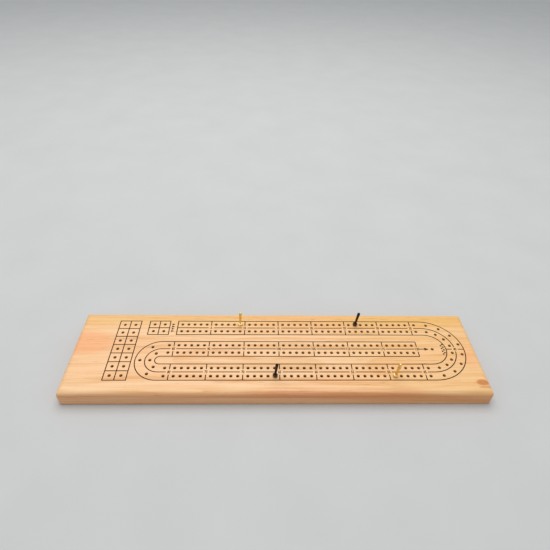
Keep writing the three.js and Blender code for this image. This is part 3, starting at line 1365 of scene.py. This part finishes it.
@dataclass
class TurnedPeg:
    """One metal peg, placed where the frame has it."""

    node: str
    finish: PegFinish
    material: bpy.types.Material
    shape: PegShape = field(default_factory=PegShape)

    def axis(self) -> Vector:
        """The direction from the peg's tip to its head, from the node's joint."""
        joint = next(j for j in frame["joints"] if j["child"] == self.node)
        return Vector(joint["axis"]).normalized()

    def build(self) -> bpy.types.Object:
        """Makes the peg.

        Returns:
            The peg's object.
        """
        axis = self.axis()
        corners = [vertex.co for vertex in frame["nodes"][self.node].data.vertices]
        crown = max(corners, key=lambda corner: corner.dot(axis))
        seat = crown - axis * self.shape.height
        turn = axis.to_track_quat("Z", "Y").to_matrix().to_4x4()
        profile = self.shape.profile()
        angles = [2 * math.pi * i / self.shape.sides for i in range(self.shape.sides)]
        rings = [[Vector((0.0, 0.0, -self.shape.shank_length))]]
        rings += [[Vector((r * math.cos(a), r * math.sin(a), z)) for a in angles] for r, z in profile]
        rings.append([Vector((0.0, 0.0, self.shape.height))])
        mesh = MeshShop.loft(self.node + "_turned", rings)
        along = mesh.attributes.new("along", "FLOAT", "POINT")
        out = mesh.attributes.new("out", "FLOAT", "POINT")
        for i, vertex in enumerate(mesh.vertices):
            along.data[i].value = vertex.co.z
            out.data[i].value = math.hypot(vertex.co.x, vertex.co.y) / self.shape.collar
        mesh.transform(Matrix.Translation(seat) @ turn)
        mesh.materials.append(self.material)
        MeshShop.crisp(mesh, 40.0)
        return MeshShop.show(self.node + "_turned", mesh)


# ---------------------------------------------------------------- cover


@dataclass
class StoreCover:
    """The sliding plate over the peg store, with its row of thumb ridges."""

    patterns: Patterns
    low: Vector
    high: Vector
    thickness: float = 1 * MM
    edge: float = 0.18 * MM
    flat: float = 0.1 * MM
    end_steps: int = 16
    ridge_count: int = 3
    ridge_pitch: float = 2.2 * MM
    ridge_inset: float = 9 * MM
    ridge_width: float = 0.9 * MM
    ridge_length: float = 7 * MM

    def build(self) -> bpy.types.Object:
        """Makes the cover.

        Returns:
            The cover's object.
        """
        steel = BrushedSteel().build()
        size, centre = self.high - self.low, middle(self.low, self.high)
        bottom, top, edge = self.high.z - self.thickness, self.high.z, self.edge
        levels = [(bottom, edge + self.flat), (bottom, edge), (bottom + edge, 0.0)]
        levels += [(top - edge, 0.0), (top, edge), (top, edge + self.flat)]
        plate = MeshShop.slab(
            "store_cover_plate", size.x, size.y, size.y / 2, levels, centre, self.end_steps
        )
        plate.materials.append(steel)
        seed = bpy.data.meshes.new("ridge_points")
        xs = [self.low.x + self.ridge_inset + i * self.ridge_pitch for i in range(self.ridge_count)]
        seed.from_pydata([(x, centre[1], bottom) for x in xs], [], [])
        sizes = {
            "Length": self.ridge_length,
            "Width": self.ridge_width,
            "Height": bottom - self.low.z,
            "Material": steel,
        }
        ridges = grown("ridges", seed, self.patterns.ridges, sizes)
        cover = MeshShop.show("store_cover_plate", plate)
        join = cover.modifiers.new("join", "BOOLEAN")
        join.operation, join.solver = "UNION", "MANIFOLD"
        join.object = MeshShop.show("ridges", MeshShop.tidy(ridges))
        ridge_piece = join.object
        MeshShop.settled(cover)
        bpy.data.objects.remove(ridge_piece)
        bpy.data.meshes.remove(ridges)
        MeshShop.crisp(cover.data, 35.0)
        return cover


# ---------------------------------------------------------------- studio


@dataclass(frozen=True)
class Studio:
    """Pale floor, soft light and the camera."""

    eye: Triple = (-15.0 * MM, -283.4 * MM, 344.9 * MM)
    pitch: float = math.radians(39.9)
    yaw: float = math.radians(2.236)
    roll: float = math.radians(1.806)
    lens: float = 29.8
    sensor: float = 36.0
    floor_size: float = 14.0
    sky_colour: Colour = (0.93, 0.97, 1.0, 1.0)
    sky_strength: float = 0.56
    lamp_spot: Triple = (-0.06, 0.45, 1.5)
    lamp_size: float = 1.5
    lamp_power: float = 18.0

    def build_floor(self) -> None:
        """Lays the floor."""
        half = self.floor_size / 2
        mesh = bpy.data.meshes.new("floor")
        corners = [(-half, -half, 0), (half, -half, 0), (half, half, 0), (-half, half, 0)]
        mesh.from_pydata(corners, [], [(0, 1, 2, 3)])
        mesh.materials.append(PaleFloor().build())
        floor = MeshShop.show("floor", mesh)

    def build_camera(self) -> None:
        """Places the camera from its eye point, pitch, yaw and roll."""
        ahead = math.cos(self.pitch)
        forward = Vector((math.sin(self.yaw) * ahead, math.cos(self.yaw) * ahead, -math.sin(self.pitch)))
        level = Vector((math.cos(self.yaw), -math.sin(self.yaw), 0.0))
        upright = level.cross(forward)
        right = level * math.cos(self.roll) + upright * math.sin(self.roll)
        up = upright * math.cos(self.roll) - level * math.sin(self.roll)
        turn = Matrix((right, up, -forward)).transposed().to_4x4()
        data = bpy.data.cameras.new("camera")
        data.lens = self.lens
        data.sensor_width = self.sensor
        data.clip_start = 0.01
        camera = bpy.data.objects.new("camera", data)
        camera.matrix_world = Matrix.Translation(self.eye) @ turn
        bpy.context.scene.collection.objects.link(camera)
        bpy.context.scene.camera = camera

    def build_light(self) -> None:
        """Adds the sky light and one broad square lamp aimed at the board."""
        world = bpy.data.worlds.new("soft_sky")
        world.use_nodes = True
        sky = world.node_tree.nodes["Background"]
        sky.inputs["Color"].default_value = self.sky_colour
        sky.inputs["Strength"].default_value = self.sky_strength
        bpy.context.scene.world = world
        data = bpy.data.lights.new("overhead", "AREA")
        data.size = self.lamp_size
        data.energy = self.lamp_power
        lamp = bpy.data.objects.new("overhead", data)
        turn = Vector(self.lamp_spot).to_track_quat("Z", "Y").to_matrix().to_4x4()
        lamp.matrix_world = Matrix.Translation(self.lamp_spot) @ turn
        bpy.context.scene.collection.objects.link(lamp)
        bpy.context.scene.view_settings.view_transform = "Standard"


# ---------------------------------------------------------------- assembly


def fit(piece: bpy.types.Object, node: str) -> None:
    """Puts a finished piece in the place of a CAD node.

    Args:
        piece: The finished piece.
        node: The node it stands for, which is also its body's name.
    """
    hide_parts(node)
    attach(piece, node)
    log.info("%s: %d faces, for %s", piece.name, len(piece.data.polygons), node)


def main() -> None:
    """Builds the studio and every piece."""
    logging.basicConfig(level=logging.INFO, format="%(name)s: %(message)s")
    studio = Studio()
    studio.build_camera()
    studio.build_light()
    studio.build_floor()

    patterns = Patterns()
    low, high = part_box("board")
    track = Track(left_end=low.x, front_edge=low.y)
    fit(WoodenBoard(patterns, track, low, high).build(), "board")

    brass = TurnedMetal(
        name="turned_brass",
        bright=(0.97, 0.76, 0.28, 1.0),
        dull=(0.80, 0.56, 0.17, 1.0),
        worn=(0.98, 0.85, 0.50, 1.0),
        polish=0.34,
        wear=0.5,
    )
    black = TurnedMetal(
        name="blackened_metal",
        bright=(0.045, 0.024, 0.014, 1.0),
        dull=(0.018, 0.010, 0.006, 1.0),
        worn=(0.20, 0.10, 0.04, 1.0),
        polish=0.3,
        wear=0.6,
        metallic=0.8,
    )
    metals = {PegFinish.BRASS: brass.build(), PegFinish.BLACK: black.build()}
    pegs = {
        "brass_peg_back": PegFinish.BRASS,
        "black_peg_back": PegFinish.BLACK,
        "brass_peg_front": PegFinish.BRASS,
        "black_peg_front": PegFinish.BLACK,
        "stored_brass_peg": PegFinish.BRASS,
        "stored_black_peg": PegFinish.BLACK,
    }
    for node, finish in pegs.items():
        fit(TurnedPeg(node, finish, metals[finish]).build(), node)

    low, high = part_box("store_cover")
    fit(StoreCover(patterns, low, high).build(), "store_cover")


if __name__ == "__main__":
    main()
